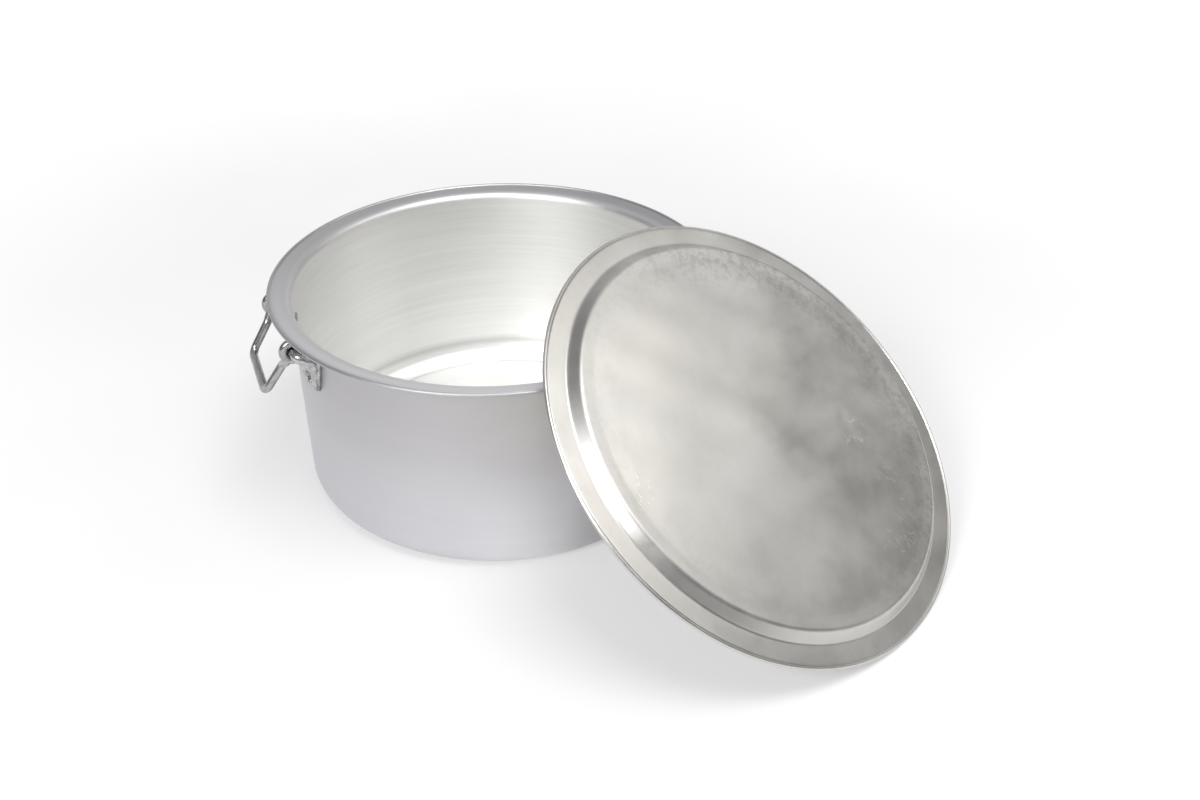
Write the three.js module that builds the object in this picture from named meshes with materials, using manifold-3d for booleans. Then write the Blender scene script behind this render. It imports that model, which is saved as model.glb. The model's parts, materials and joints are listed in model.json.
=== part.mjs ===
// A spun aluminium boiling pot with two swinging bail handles and a loose stepped cover.
//
// Frame: millimetres, +Z up, origin at the centre of the pot's flat base.
// The two handles are on the X axis. The cover leans on the rim, between the right
// handle and the front (-Y), with its lowest edge on the ground.

import * as THREE from 'three';
import { mergeVertices } from 'three/addons/utils/BufferGeometryUtils.js';
import Module from 'manifold-3d';

const wasm = await Module();
wasm.setup();

const DEG = Math.PI / 180;
const GAP = 0.3;              // clearance between touching pieces

// Pot
const TURNED_SIDES = 64;      // facets round the pot and the cover
const RIM_R = 200;            // outer edge of the rim
const POT_HEIGHT = 190;       // to the top of the rim's bead
const WALL_TOP_R = 181;       // outside of the wall under the rim
const WALL_BASE_R = 179.6;    // outside of the wall at the base
const WALL = 2;               // sheet thickness of wall and rim
const FLOOR = 2.5;            // sheet thickness of the floor
const BASE_CORNER_R = 18;     // outside radius where the wall turns into the base
const MOUTH_R = 6;            // inside radius where the wall turns out into the rim
const RIM_SLOPE = 10 * DEG;   // the rim rises outward
const BEAD_R = 1.7;           // rolled edge of the rim
const BEAD_STEP = 0.8;        // the bead stands this far above the rim's sheet
const TUCK = 0.9;             // share of a rolled edge's radius at which the sheet meets it

// Cover
const COVER_R = 201.5;        // outer edge of the hem
const COVER_SHEET = 1.8;
const COVER_STEP = 9;         // rise of the middle above the flange
const COVER_TOP_R = 174.5;    // where the raised middle ends
const COVER_FOOT_R = 181.5;   // where the flange begins
const COVER_BEND_R = 3;
const COVER_BACK = 0.55;      // share of the sheet by which the step's back lies inside its front
const HEM_R = 1.7;            // rolled edge of the cover
const HEM_RISE = 0.8;         // the hem stands this far above the sheet
const COVER_LEAN = 37.7 * DEG;     // its plane from the horizontal
const COVER_AZIMUTH = -56.8 * DEG; // the side of the pot that it leans on
const COVER_ASIDE = 7;        // its middle is this far to one side of where it touches the rim

// Handles
const ROD_R = 3.6;            // bail rod
const HINGE_X = 189.5;        // hinge line from the pot's axis
const HINGE_Z = POT_HEIGHT - 15.5;
const EYE_Y = 44.2;           // middle of an eye along the hinge line
const EYE_R = 7.9;            // radius of the eye's rod centre line
const LEG_TOP_Y = 38.5;       // a leg where it meets the bend into its eye
const LEG_TOP_DROP = 18;      // that place below the hinge line
const NECK_DROPS = [8.7, 12, 14]; // the bend's start and its two guide points, below the hinge line
const LEG_FOOT_Y = 36;        // a leg at the grip
const BAIL_DROP = 47.4;       // hinge line to the middle of the grip
const BAIL_CORNER = 9;        // rounding of the bail's two corners
const BAIL_OUT = 33.6 * DEG;  // the bail stands this far out from hanging straight down

// Lugs
const LUG_AZIMUTH = 2.5 * 2 * Math.PI / TURNED_SIDES; // the middle of a facet
const PLATE = 3;              // plate thickness
const PLATE_OUTLINE = [       // across from the plate's middle, height and corner radius
  [5.5, 162.3],
  [8.5, 172, 3],
  [17.5, 172, 5],
  [15.5, 157, 12],
  [10, 136.5, 7],
  [-9.5, 136.5, 7],
  [-17.5, 155, 10],
  [-17.5, 162.3, 4],
];
const LUG_SPAN = [120, 180];  // heights that a lug's plate lies between
const PIN_R = 3.9;            // the lug's arm, which carries the eye
const ARM_BEND = [            // past the eye: inward, along the hinge line from the eye, down
  [0, 5.2, 0],
  [2.4, 9.6, 1],
  [8, 11.8, 4],
];
const ARM_FOOT = [            // on the plate: across, down from the hinge line, lift
  [56.5, 9.5, 0.5],
  [55, 17, -1.2],
];
const RIB_R = 2.2;
const RIB_SINK = -0.3;        // a rib's centre line from the plate's outer face
const RIB_FOOT = 141;         // height of the ribs' lower ends
const RIBS = [                // across from the plate's middle at the top, height there, across at the foot
  [10.5, 168, 7.2],
  [-8.6, 160, -6.4],
];
const RIVET_R = 2.4;
const RIVET_HEIGHTS = [157.5, 143];
const DRILL = 30;             // long enough to pass through the wall and a lug
const WASHER = { inner: PIN_R + GAP, outer: 6.6, thick: 1.2 };
const UPSET_R = 5.2;          // hammered end of the arm
const ARM_START = EYE_Y - ROD_R - GAP - WASHER.thick - GAP; // inner face of the arm's hammered end

const metalness = 0.95;
const metal = (color, roughness) => new THREE.MeshStandardMaterial({ color, roughness, metalness });
const aluminium = metal(0xc9c7cc, 0.35);
const coverMetal = metal(0xb9b5b2, 0.42);
const rodMetal = metal(0xa9a7a4, 0.22);
const castMetal = metal(0xb0aeb0, 0.4);
const rivetMetal = metal(0xbdbbbd, 0.38);

// ---------------------------------------------------------------- outlines

function arc(cx, cy, radius, from, to, steps) {
  const points = [];
  for (let i = 0; i <= steps; i += 1) {
    const angle = from + (to - from) * i / steps;
    points.push(new THREE.Vector2(cx + radius * Math.cos(angle), cy + radius * Math.sin(angle)));
  }
  return points;
}

// A polyline of [x, y, radius] corners, with each corner that has a radius turned into an arc.
function rounded(corners, steps = 4) {
  const count = corners.length;
  const at = (i) => new THREE.Vector2(corners[(i + count) % count][0], corners[(i + count) % count][1]);
  const points = [];
  corners.forEach(([x, y, radius], i) => {
    const corner = new THREE.Vector2(x, y);
    if (!radius) {
      points.push(corner);
      return;
    }
    const before = at(i - 1).sub(corner).normalize();
    const after = at(i + 1).sub(corner).normalize();
    const half = Math.acos(before.dot(after)) / 2;
    const inward = before.clone().add(after).normalize();
    const centre = inward.multiplyScalar(radius / Math.sin(half)).add(corner);
    const reach = radius / Math.tan(half);
    const start = before.multiplyScalar(reach).add(corner).sub(centre);
    const end = after.multiplyScalar(reach).add(corner).sub(centre);
    let turn = end.angle() - start.angle();
    if (turn > Math.PI) turn -= 2 * Math.PI;
    if (turn < -Math.PI) turn += 2 * Math.PI;
    points.push(...arc(centre.x, centre.y, radius, start.angle(), start.angle() + turn, steps));
  });
  return points;
}

// ------------------------------------------------------------------ solids

// Merges shared corners and drops triangles without area.
function closed(source) {
  const bare = source.clone();
  bare.deleteAttribute('normal');
  bare.deleteAttribute('uv');
  const merged = mergeVertices(bare, 1e-4);
  const index = merged.getIndex().array;
  const kept = [];
  for (let i = 0; i < index.length; i += 3) {
    const [a, b, c] = index.slice(i, i + 3);
    if (a !== b && b !== c && c !== a) kept.push(a, b, c);
  }
  merged.setIndex(kept);
  merged.computeVertexNormals();
  return merged;
}

function toSolid(geometry) {
  const mesh = closed(geometry);
  return new wasm.Manifold(new wasm.Mesh({
    numProp: 3,
    vertProperties: Float32Array.from(mesh.getAttribute('position').array),
    triVerts: Uint32Array.from(mesh.getIndex().array),
  }));
}

function toGeometry(solid) {
  const mesh = solid.getMesh();
  const geometry = new THREE.BufferGeometry();
  const places = Float32Array.from(mesh.vertProperties);
  geometry.setAttribute('position', new THREE.BufferAttribute(places, 3));
  geometry.setIndex(Array.from(mesh.triVerts));
  geometry.computeVertexNormals();
  return geometry;
}

// Turns an outline of radius and height round the Z axis.
function turned(outline, sides) {
  return new THREE.LatheGeometry(outline, sides).rotateX(Math.PI / 2);
}

function swept(path, radius, sides, steps) {
  const section = new THREE.Shape(arc(0, 0, radius, 0, 2 * Math.PI * (1 - 1 / sides), sides - 1));
  return new THREE.ExtrudeGeometry(section, { extrudePath: path, steps, bevelEnabled: false });
}

// Moves a geometry made along Z so that it points outward from the pot at an azimuth.
function pointOutward(geometry, azimuth, radius, height) {
  return geometry.rotateY(Math.PI / 2).translate(radius, 0, height).rotateZ(azimuth);
}

function named(name, geometry, material) {
  const mesh = new THREE.Mesh(geometry, material);
  mesh.name = name;
  return mesh;
}

// --------------------------------------------------------------------- pot

function wallRadius(height) {
  return WALL_BASE_R + (WALL_TOP_R - WALL_BASE_R) * height / POT_HEIGHT;
}

// The flat middle of a facet lies inside the circle that its corners are on.
function facetRadius(radius) {
  return radius * Math.cos(Math.PI / TURNED_SIDES);
}

const beadCentre = new THREE.Vector2(RIM_R - BEAD_R, POT_HEIGHT - BEAD_R);
const rimEdge = beadCentre.x - BEAD_R * TUCK;

function rimTop(radius) {
  return POT_HEIGHT - BEAD_STEP - (rimEdge - radius) * Math.tan(RIM_SLOPE);
}

function rimUnder(radius) {
  return rimTop(radius) - WALL / Math.cos(RIM_SLOPE);
}

function potOutline() {
  const insideTopR = WALL_TOP_R - WALL;
  return [
    ...rounded([
      [0, 0],
      [WALL_BASE_R, 0, BASE_CORNER_R],
      [WALL_TOP_R, rimUnder(WALL_TOP_R), MOUTH_R - WALL],
      [rimEdge, rimUnder(rimEdge)],
    ]),
    ...arc(beadCentre.x, beadCentre.y, BEAD_R, -140 * DEG, 145 * DEG, 9),
    ...rounded([
      [rimEdge, rimTop(rimEdge)],
      [insideTopR, rimTop(insideTopR), MOUTH_R],
      [WALL_BASE_R - WALL, FLOOR, BASE_CORNER_R - WALL],
      [0, FLOOR],
    ]),
  ];
}

// A pin across the wall and a lug's plate, for cutting a rivet hole.
function rivetDrill(azimuth, height) {
  const drill = new THREE.CylinderGeometry(RIVET_R + GAP, RIVET_R + GAP, DRILL, 12);
  return toSolid(pointOutward(drill.rotateX(Math.PI / 2), azimuth, wallRadius(height), height));
}

function potShell(azimuths) {
  let solid = toSolid(turned(potOutline(), TURNED_SIDES));
  for (const azimuth of azimuths) {
    for (const height of RIVET_HEIGHTS) {
      solid = solid.subtract(rivetDrill(azimuth, height));
    }
  }
  return toGeometry(solid);
}

// ------------------------------------------------------------------- cover

const hemCentre = new THREE.Vector2(COVER_R - HEM_R, COVER_SHEET + HEM_RISE - HEM_R);

function coverOutline() {
  const backShift = COVER_SHEET * COVER_BACK;
  const hemInner = hemCentre.x - HEM_R * TUCK;
  return [
    ...rounded([
      [0, COVER_STEP],
      [COVER_TOP_R - backShift, COVER_STEP, COVER_BEND_R - COVER_SHEET],
      [COVER_FOOT_R - backShift, 0, COVER_BEND_R],
      [hemInner, 0],
    ], 2),
    ...arc(hemCentre.x, hemCentre.y, HEM_R, -145 * DEG, 150 * DEG, 7),
    ...rounded([
      [hemInner, COVER_SHEET],
      [COVER_FOOT_R, COVER_SHEET, COVER_BEND_R - COVER_SHEET],
      [COVER_TOP_R, COVER_STEP + COVER_SHEET, COVER_BEND_R],
      [0, COVER_STEP + COVER_SHEET],
    ], 2),
  ];
}

// The cover stands on its lowest edge, and the back of its raised middle rests on the rim's bead.
function coverMesh() {
  const outline = coverOutline();
  const sin = Math.sin(COVER_LEAN);
  const cos = Math.cos(COVER_LEAN);
  const height = Math.max(...outline.map((point) => point.x * sin - point.y * cos));
  const backDistance = COVER_STEP - BEAD_R - GAP;
  const reach = beadCentre.x + ((beadCentre.y - height) * cos - backDistance) / sin;
  const mesh = named('lid', closed(turned(outline, TURNED_SIDES)), coverMetal);
  mesh.rotation.set(0, COVER_LEAN, 0);
  mesh.position.set(reach, COVER_ASIDE, height);
  const group = new THREE.Group();
  group.rotation.z = COVER_AZIMUTH;
  group.add(mesh);
  return group;
}

// ------------------------------------------------------------------- bails

// The bend between a leg and its eye, on one side, running down from the eye.
function neck(side) {
  const [start, upper, lower] = NECK_DROPS;
  return [[EYE_Y, start], [EYE_Y, upper], [LEG_TOP_Y + 0.3, lower], [LEG_TOP_Y, LEG_TOP_DROP]]
    .map(([y, drop]) => new THREE.Vector3(0, side * y, -drop));
}

// The rod's centre line from one eye to the other, hanging straight down from the hinge line.
function bailPath() {
  const point = (y, drop) => new THREE.Vector3(0, y, -drop);
  const gripY = LEG_FOOT_Y - BAIL_CORNER;
  const cornerDrop = BAIL_DROP - BAIL_CORNER;
  const path = new THREE.CurvePath();
  path.add(new THREE.CubicBezierCurve3(...neck(1)));
  path.add(new THREE.LineCurve3(point(LEG_TOP_Y, LEG_TOP_DROP), point(LEG_FOOT_Y, cornerDrop)));
  path.add(new THREE.QuadraticBezierCurve3(
    point(LEG_FOOT_Y, cornerDrop), point(LEG_FOOT_Y, BAIL_DROP), point(gripY, BAIL_DROP)));
  path.add(new THREE.LineCurve3(point(gripY, BAIL_DROP), point(-gripY, BAIL_DROP)));
  path.add(new THREE.QuadraticBezierCurve3(
    point(-gripY, BAIL_DROP), point(-LEG_FOOT_Y, BAIL_DROP), point(-LEG_FOOT_Y, cornerDrop)));
  path.add(new THREE.LineCurve3(point(-LEG_FOOT_Y, cornerDrop), point(-LEG_TOP_Y, LEG_TOP_DROP)));
  path.add(new THREE.CubicBezierCurve3(...neck(-1).reverse()));
  return path;
}

function bailGeometry() {
  let solid = toSolid(swept(bailPath(), ROD_R, 10, 44));
  for (const side of [-1, 1]) {
    const eye = new THREE.TorusGeometry(EYE_R, ROD_R, 10, 20).rotateX(Math.PI / 2);
    solid = solid.add(toSolid(eye.translate(0, side * EYE_Y, 0)));
  }
  return toGeometry(solid);
}

function bailMesh(name) {
  const mesh = named(name, bailGeometry(), rodMetal);
  mesh.position.set(HINGE_X, 0, HINGE_Z);
  mesh.rotation.y = -BAIL_OUT;
  return mesh;
}

// -------------------------------------------------------------------- lugs

const plateY = facetRadius(WALL_TOP_R) * Math.sin(LUG_AZIMUTH);

// The point over the wall at a place across and a height, lifted off the plate's outer face.
function overPlate(across, height, lift) {
  const radius = facetRadius(wallRadius(height)) + GAP + PLATE + lift;
  return new THREE.Vector3(Math.sqrt(radius * radius - across * across), across, height);
}

// Everything inside the pot's wall and a lift outside it, over the height of the lugs.
function wallCore(lift) {
  const [low, high] = LUG_SPAN;
  return toSolid(turned([
    new THREE.Vector2(0, low),
    new THREE.Vector2(wallRadius(low) + lift, low),
    new THREE.Vector2(wallRadius(high) + lift, high),
    new THREE.Vector2(0, high),
  ], TURNED_SIDES));
}

// The plate's outline, pushed through along X and cut to a layer that follows the wall.
function lugPlate(side) {
  const outline = rounded(PLATE_OUTLINE, 3).map((point) => new THREE.Vector2(side * point.x, point.y));
  const prism = new THREE.ExtrudeGeometry(new THREE.Shape(outline), { depth: RIM_R, bevelEnabled: false });
  const basis = new THREE.Matrix4().makeBasis(
    new THREE.Vector3(0, 1, 0), new THREE.Vector3(0, 0, 1), new THREE.Vector3(1, 0, 0));
  prism.applyMatrix4(basis).translate(0, side * plateY, 0);
  return toSolid(prism).intersect(wallCore(GAP + PLATE)).subtract(wallCore(GAP));
}

// The arm carries the eye along the hinge line, turns in past it and runs into the plate.
function lugArm(side) {
  const path = new THREE.CatmullRomCurve3([
    new THREE.Vector3(HINGE_X, side * (ARM_START - 0.6), HINGE_Z),
    new THREE.Vector3(HINGE_X, side * (EYE_Y - 1), HINGE_Z),
    ...ARM_BEND.map(([inward, along, down]) => (
      new THREE.Vector3(HINGE_X - inward, side * (EYE_Y + along), HINGE_Z - down))),
    ...ARM_FOOT.map(([across, down, lift]) => overPlate(side * across, HINGE_Z - down, lift)),
  ], false, 'centripetal');
  return toSolid(swept(path, PIN_R, 10, 13));
}

// The domed end of the arm, which keeps the eye on.
function upsetEnd(side) {
  const dome = turned([
    new THREE.Vector2(0, -1.7),
    new THREE.Vector2(UPSET_R - 2, -1.4),
    new THREE.Vector2(UPSET_R, -0.3),
    new THREE.Vector2(UPSET_R, 0),
    new THREE.Vector2(0, 0),
  ], 12);
  dome.rotateX(-side * Math.PI / 2);
  return toSolid(dome.translate(HINGE_X, side * ARM_START, HINGE_Z));
}

function rib(side, [topAcross, top, footAcross]) {
  const path = new THREE.LineCurve3(
    overPlate(side * (plateY + topAcross), top, RIB_SINK),
    overPlate(side * (plateY + footAcross), RIB_FOOT, RIB_SINK));
  return toSolid(swept(path, RIB_R, 8, 1));
}

function lugGeometry(side) {
  let solid = lugPlate(side).add(lugArm(side)).add(upsetEnd(side));
  for (const place of RIBS) {
    solid = solid.add(rib(side, place));
  }
  solid = solid.subtract(wallCore(GAP));
  for (const height of RIVET_HEIGHTS) {
    solid = solid.subtract(rivetDrill(side * LUG_AZIMUTH, height));
  }
  return toGeometry(solid);
}

function rivetGeometry(side, height) {
  const inside = facetRadius(wallRadius(height) - WALL) - GAP;
  const grip = WALL + PLATE + 3 * GAP;
  const outline = [
    new THREE.Vector2(0, -1.2),
    new THREE.Vector2(4.6, -0.8),
    new THREE.Vector2(4.8, 0),
    new THREE.Vector2(RIVET_R, 0),
    new THREE.Vector2(RIVET_R, grip),
    new THREE.Vector2(4.2, grip),
    new THREE.Vector2(3.2, grip + 1.4),
    new THREE.Vector2(0, grip + 2.1),
  ];
  return closed(pointOutward(turned(outline, 10), side * LUG_AZIMUTH, inside, height));
}

function washerGeometry(side) {
  const outline = [
    new THREE.Vector2(WASHER.inner, 0),
    new THREE.Vector2(WASHER.outer, 0),
    new THREE.Vector2(WASHER.outer, WASHER.thick),
    new THREE.Vector2(WASHER.inner, WASHER.thick),
    new THREE.Vector2(WASHER.inner, 0),
  ];
  const ring = turned(outline, 16).rotateX(-Math.PI / 2).translate(0, -WASHER.thick / 2, 0);
  const middle = EYE_Y - ROD_R - GAP - WASHER.thick / 2;
  return closed(ring.translate(HINGE_X, side * middle, HINGE_Z));
}

// ---------------------------------------------------------------- assembly

function handle(name, frontSide) {
  const group = new THREE.Group();
  group.add(bailMesh(`${name}_bail`));
  for (const side of [-1, 1]) {
    const end = side === frontSide ? 'front' : 'rear';
    const prefix = `${name}_${end}`;
    group.add(named(`${prefix}_lug`, lugGeometry(side), castMetal));
    group.add(named(`${prefix}_washer`, washerGeometry(side), rivetMetal));
    group.add(named(`${prefix}_upper_rivet`, rivetGeometry(side, RIVET_HEIGHTS[0]), rivetMetal));
    group.add(named(`${prefix}_lower_rivet`, rivetGeometry(side, RIVET_HEIGHTS[1]), rivetMetal));
  }
  return group;
}

const pot = new THREE.Group();
const lugAzimuths = [LUG_AZIMUTH, -LUG_AZIMUTH, Math.PI + LUG_AZIMUTH, Math.PI - LUG_AZIMUTH];
pot.add(named('pot_shell', potShell(lugAzimuths), aluminium));
pot.add(handle('right', -1));
const left = handle('left', 1);
left.rotation.z = Math.PI;
pot.add(left);
pot.add(coverMesh());

export default pot;
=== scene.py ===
"""The looks of a spun aluminium boiling pot with two bail handles and a loose stepped cover.

Sizes are in millimetres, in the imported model's own frame, and each mesh turns them into metres.
"""

import json
import math

import bpy
import numpy as np
from mathutils import Matrix, Vector, noise


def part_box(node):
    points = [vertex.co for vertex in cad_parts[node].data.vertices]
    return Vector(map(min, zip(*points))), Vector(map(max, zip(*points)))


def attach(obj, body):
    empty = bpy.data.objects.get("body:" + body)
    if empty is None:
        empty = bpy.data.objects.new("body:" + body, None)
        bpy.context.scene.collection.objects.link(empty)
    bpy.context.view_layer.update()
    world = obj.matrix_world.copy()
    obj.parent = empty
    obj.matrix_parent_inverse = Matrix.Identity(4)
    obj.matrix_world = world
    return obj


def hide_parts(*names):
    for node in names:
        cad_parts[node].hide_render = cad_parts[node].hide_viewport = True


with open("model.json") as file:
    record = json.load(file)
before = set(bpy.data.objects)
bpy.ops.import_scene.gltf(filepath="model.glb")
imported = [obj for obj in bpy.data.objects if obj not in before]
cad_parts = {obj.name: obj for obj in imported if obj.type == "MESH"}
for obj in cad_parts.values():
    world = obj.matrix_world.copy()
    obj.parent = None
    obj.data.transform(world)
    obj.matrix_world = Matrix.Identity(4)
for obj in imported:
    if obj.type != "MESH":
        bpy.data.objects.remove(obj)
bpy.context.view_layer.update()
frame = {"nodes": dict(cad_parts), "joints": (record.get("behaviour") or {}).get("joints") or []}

MM = 0.001                # metres in a millimetre
GAP = 0.3                 # room left between two pieces that meet
MIDDLE_R = 50             # turned marks fade towards the middle from here
ROLL_TUCK = 0.9           # share of a rolled edge's radius at which the sheet runs into it

# Pot
RIM_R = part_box("pot_shell")[1].x / MM
POT_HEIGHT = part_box("pot_shell")[1].z / MM
POT_SIDES = 288
POT_MESH_STEP = 3.4       # longest step along the pot's outline
RIM_WIDTH = 19
WALL_LEAN = 1.4           # the base is this much smaller in radius than the top of the wall
WALL_TOP_R = RIM_R - RIM_WIDTH
WALL_BASE_R = WALL_TOP_R - WALL_LEAN
WALL = 2
FLOOR = 2.5
BASE_CORNER_R = 18
MOUTH_R = 6
RIM_SLOPE = math.radians(10)
BEAD_R = 1.7
BEAD_STEP = 0.8           # the bead stands this far above the rim's face
BEAD_X = RIM_R - BEAD_R
BEAD_Z = POT_HEIGHT - BEAD_R
RIM_EDGE = BEAD_X - BEAD_R * ROLL_TUCK
SEAM_R = RIM_EDGE - 0.7   # a fine groove runs along the bead
FLOOR_R = WALL_BASE_R - BASE_CORNER_R
RING_STEP = 0.4           # the floor lies this far below the ring at its edge
DISH_R = FLOOR_R - 8
DISH_SLOPE = 7            # width of the slope round the dish under the base
DISH_BEND_R = 12
BASE_DISH = 0.8           # the middle of the base stands this far off the ground

# Stretches of the wall and the rim with painted light and shade, by azimuth in degrees: where each fades in
# and out
WARM_REFLECTION_AZIMUTH = 280        # a warm reflection is painted under the rim around here
# Painted shade low on the wall beside the cover, fading in and out over these azimuths
COVER_SHADE_IN, COVER_SHADE_OUT = (267, 281), (300, 330)
# A painted sheen, brighter low on the near side, fading in and out over these azimuths
SHEEN_IN, SHEEN_OUT = (235, 258), (262, 274)
RIM_HIGHLIGHT_AZIMUTH = 225      # the rim's painted highlight is brightest here

# Cover
COVER_SIDES = 300
COVER_MESH_STEP = 1.8     # longest step along the cover's outline
COVER_R = RIM_R + 1.5
COVER_SHEET = 1.8
COVER_STEP = 9
COVER_TOP_R = 174.5
COVER_FOOT_R = 181.5
COVER_BEND_R = 3
COVER_BACK = 0.55         # share of the sheet by which the back's bends lie inside the face's
HEM_R = 1.7
HEM_RISE = 0.8            # the hem stands this far above the flange's face
COVER_RIDGE = 0.12        # low ridge round the raised middle, inside its edge

# Handles
ROD_R = 3.6
EYE_Y = 44.2
EYE_R = 7.9
LEG_TOP_Y = 38.5
LEG_FOOT_Y = 36
BAIL_DROP = 47.4
BAIL_CORNER = 9
BAIL_OUT = math.radians(33.6)  # how far out from hanging the bails stand
NECK_Z = -18
NECK_LEAD = 4             # how far the rod keeps its direction where the neck starts
EYE_LEAD = 5              # and where it runs up into the eye
EYE_STEPS = 56
QUARTER_ARC = 0.55        # share of the radius at which a quarter circle's Bezier handles lie
ROD_SIDES = 24

# Lugs
LUG_AZIMUTH = math.radians(14.0625)
PLATE = 3
PLATE_HALF = 17.5
PLATE_Y = WALL_TOP_R * math.sin(LUG_AZIMUTH)
PIN_R = 3.9
WASHER_INNER_R = 4.2
WASHER_OUTER_R = 6.6
WASHER_THICK = 1.2
ARM_START = EYE_Y - ROD_R - GAP - WASHER_THICK - GAP
RIVET_R = 2.4
RIVET_HEIGHTS = {"upper": 157.5, "lower": 143}
BLOW_SIZE = 2.2           # size of the hammer's marks on a rivet's outer head
BLOW_DEPTH = 0.05         # and how strongly they change its shape

JOINTS = {joint["name"]: joint for joint in frame["joints"]}
HINGE_X, _, HINGE_Z = (value / MM for value in JOINTS["right_bail_hinge"]["pos_m"])


# ------------------------------------------------------------------ curves


def arc(x, y, radius, start, end, steps):
    """Points along a circle from one angle to another."""
    angles = np.linspace(start, end, steps + 1)
    return [(x + radius * math.cos(a), y + radius * math.sin(a)) for a in angles]


def rounded(corners, steps=8):
    """A polyline of (x, y) or (x, y, radius) corners, where each corner with a radius becomes an arc."""
    points = []
    count = len(corners)
    for i, corner in enumerate(corners):
        here = np.array(corner[:2], float)
        if len(corner) < 3:
            points.append(tuple(here))
            continue
        before = np.array(corners[i - 1][:2], float) - here
        after = np.array(corners[(i + 1) % count][:2], float) - here
        before /= np.linalg.norm(before)
        after /= np.linalg.norm(after)
        half = math.acos(float(before @ after)) / 2
        middle = (before + after) / np.linalg.norm(before + after)
        centre = here + middle * corner[2] / math.sin(half)
        start = here + before * corner[2] / math.tan(half) - centre
        end = here + after * corner[2] / math.tan(half) - centre
        first = math.atan2(start[1], start[0])
        swept = (math.atan2(end[1], end[0]) - first + math.pi) % (2 * math.pi) - math.pi
        points += arc(centre[0], centre[1], corner[2], first, first + swept, steps)
    return points


def filled(points, longest):
    """The same line with more points, so that no step is over the longest."""
    made = [np.array(points[0], float)]
    for point in points[1:]:
        start, end = made[-1], np.array(point, float)
        steps = max(1, math.ceil(np.linalg.norm(end - start) / longest))
        made += [start + (end - start) * (k + 1) / steps for k in range(steps)]
    return np.array(made)


def bezier(a, b, c, d, steps):
    """Points along a cubic Bezier curve."""
    t = np.linspace(0, 1, steps + 1)[:, None]
    a, b, c, d = (np.array(point, float) for point in (a, b, c, d))
    return (1 - t) ** 3 * a + 3 * (1 - t) ** 2 * t * b + 3 * (1 - t) * t ** 2 * c + t ** 3 * d


def smooth_line(points, steps):
    """A smooth curve through the points (Catmull-Rom)."""
    points = np.array(points, float)
    padded = np.vstack([2 * points[0] - points[1], points, 2 * points[-1] - points[-2]])
    made = [points[0]]
    for i in range(1, len(padded) - 2):
        out = (padded[i + 1] - padded[i - 1]) / 6
        into = (padded[i + 2] - padded[i]) / 6
        piece = bezier(padded[i], padded[i] + out, padded[i + 1] - into, padded[i + 1], steps)
        made += list(piece[1:])
    return np.array(made)


def ease(value, low, high):
    """A smooth rise from 0 at the low value to 1 at the high one."""
    share = np.clip((value - low) / (high - low), 0, 1)
    return share * share * (3 - 2 * share)


def between(value, fade_in, fade_out):
    """1 between two smooth fades, each of them a pair of values."""
    return ease(value, *fade_in) * (1 - ease(value, *fade_out))


def bell(value, middle, half_width):
    return np.exp(-((value - middle) / half_width) ** 2)


# ------------------------------------------------------------------ meshes


def new_object(name, points, faces, material, body, nodes):
    """A smooth mesh piece, from points in millimetres, that stands for CAD nodes and rides on a body."""
    mesh = bpy.data.meshes.new(name)
    mesh.from_pydata((np.asarray(points) * MM).tolist(), [], [list(face) for face in faces])
    mesh.update()
    mesh.polygons.foreach_set("use_smooth", [True] * len(mesh.polygons))
    mesh.materials.append(material)
    piece = bpy.data.objects.new(name, mesh)
    bpy.context.scene.collection.objects.link(piece)
    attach(piece, body)
    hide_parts(*nodes)
    return piece


def give(piece, name, values):
    """Stores a number or a vector on each vertex, for the material to read."""
    values = np.asarray(values, np.float32)
    kind = "FLOAT" if values.ndim == 1 else "FLOAT_VECTOR"
    attribute = piece.data.attributes.new(name, kind, "POINT")
    attribute.data.foreach_set("value" if values.ndim == 1 else "vector", values.ravel())


def turn(outline, sides, warp=None):
    """Turns an outline of (radius, height), from the axis back to the axis, round Z.

    Gives the points, the faces, the place along the outline of each point and its angle.
    """
    outline = np.array(outline, float)
    run = np.concatenate([[0], np.cumsum(np.linalg.norm(np.diff(outline, axis=0), axis=1))])
    angle = np.arange(sides) * 2 * math.pi / sides
    radius, angles = np.meshgrid(outline[1:-1, 0], angle, indexing="ij")
    height = np.repeat(outline[1:-1, 1:2], sides, axis=1)
    if warp:
        radius, height = warp(radius, height, angles)
    rings = np.stack([radius * np.cos(angles), radius * np.sin(angles), height], axis=-1)
    count = len(outline) - 2
    poles = [(0, 0, outline[end, 1] + (rings[ring, :, 2] - outline[near, 1]).mean())
             for end, near, ring in ((0, 1, 0), (-1, -2, -1))]
    points = np.vstack([rings.reshape(-1, 3), poles])
    bottom, top = count * sides, count * sides + 1
    faces = []
    for i in range(count - 1):
        for j in range(sides):
            k = (j + 1) % sides
            faces.append((i * sides + j, i * sides + k, (i + 1) * sides + k, (i + 1) * sides + j))
    for j in range(sides):
        k = (j + 1) % sides
        faces.append((bottom, k, j))
        faces.append((top, (count - 1) * sides + j, (count - 1) * sides + k))
    runs = np.concatenate([np.repeat(run[1:-1], sides), [0, run[-1]]])
    return points, faces, runs, np.concatenate([angles.ravel(), [0, 0]])


def give_along(piece, runs, angles, reach=1.0):
    """The direction round the axis and the place along it, for marks that turning or drawing has left."""
    give(piece, "turning", np.stack([reach * np.cos(angles), reach * np.sin(angles), runs * MM], axis=-1))


def give_turning(piece, points, runs, angles):
    """The same for a piece turned round Z, where the directions run together at the middle."""
    give_along(piece, runs, angles, ease(np.hypot(points[:, 0], points[:, 1]), 0, MIDDLE_R))


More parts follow.
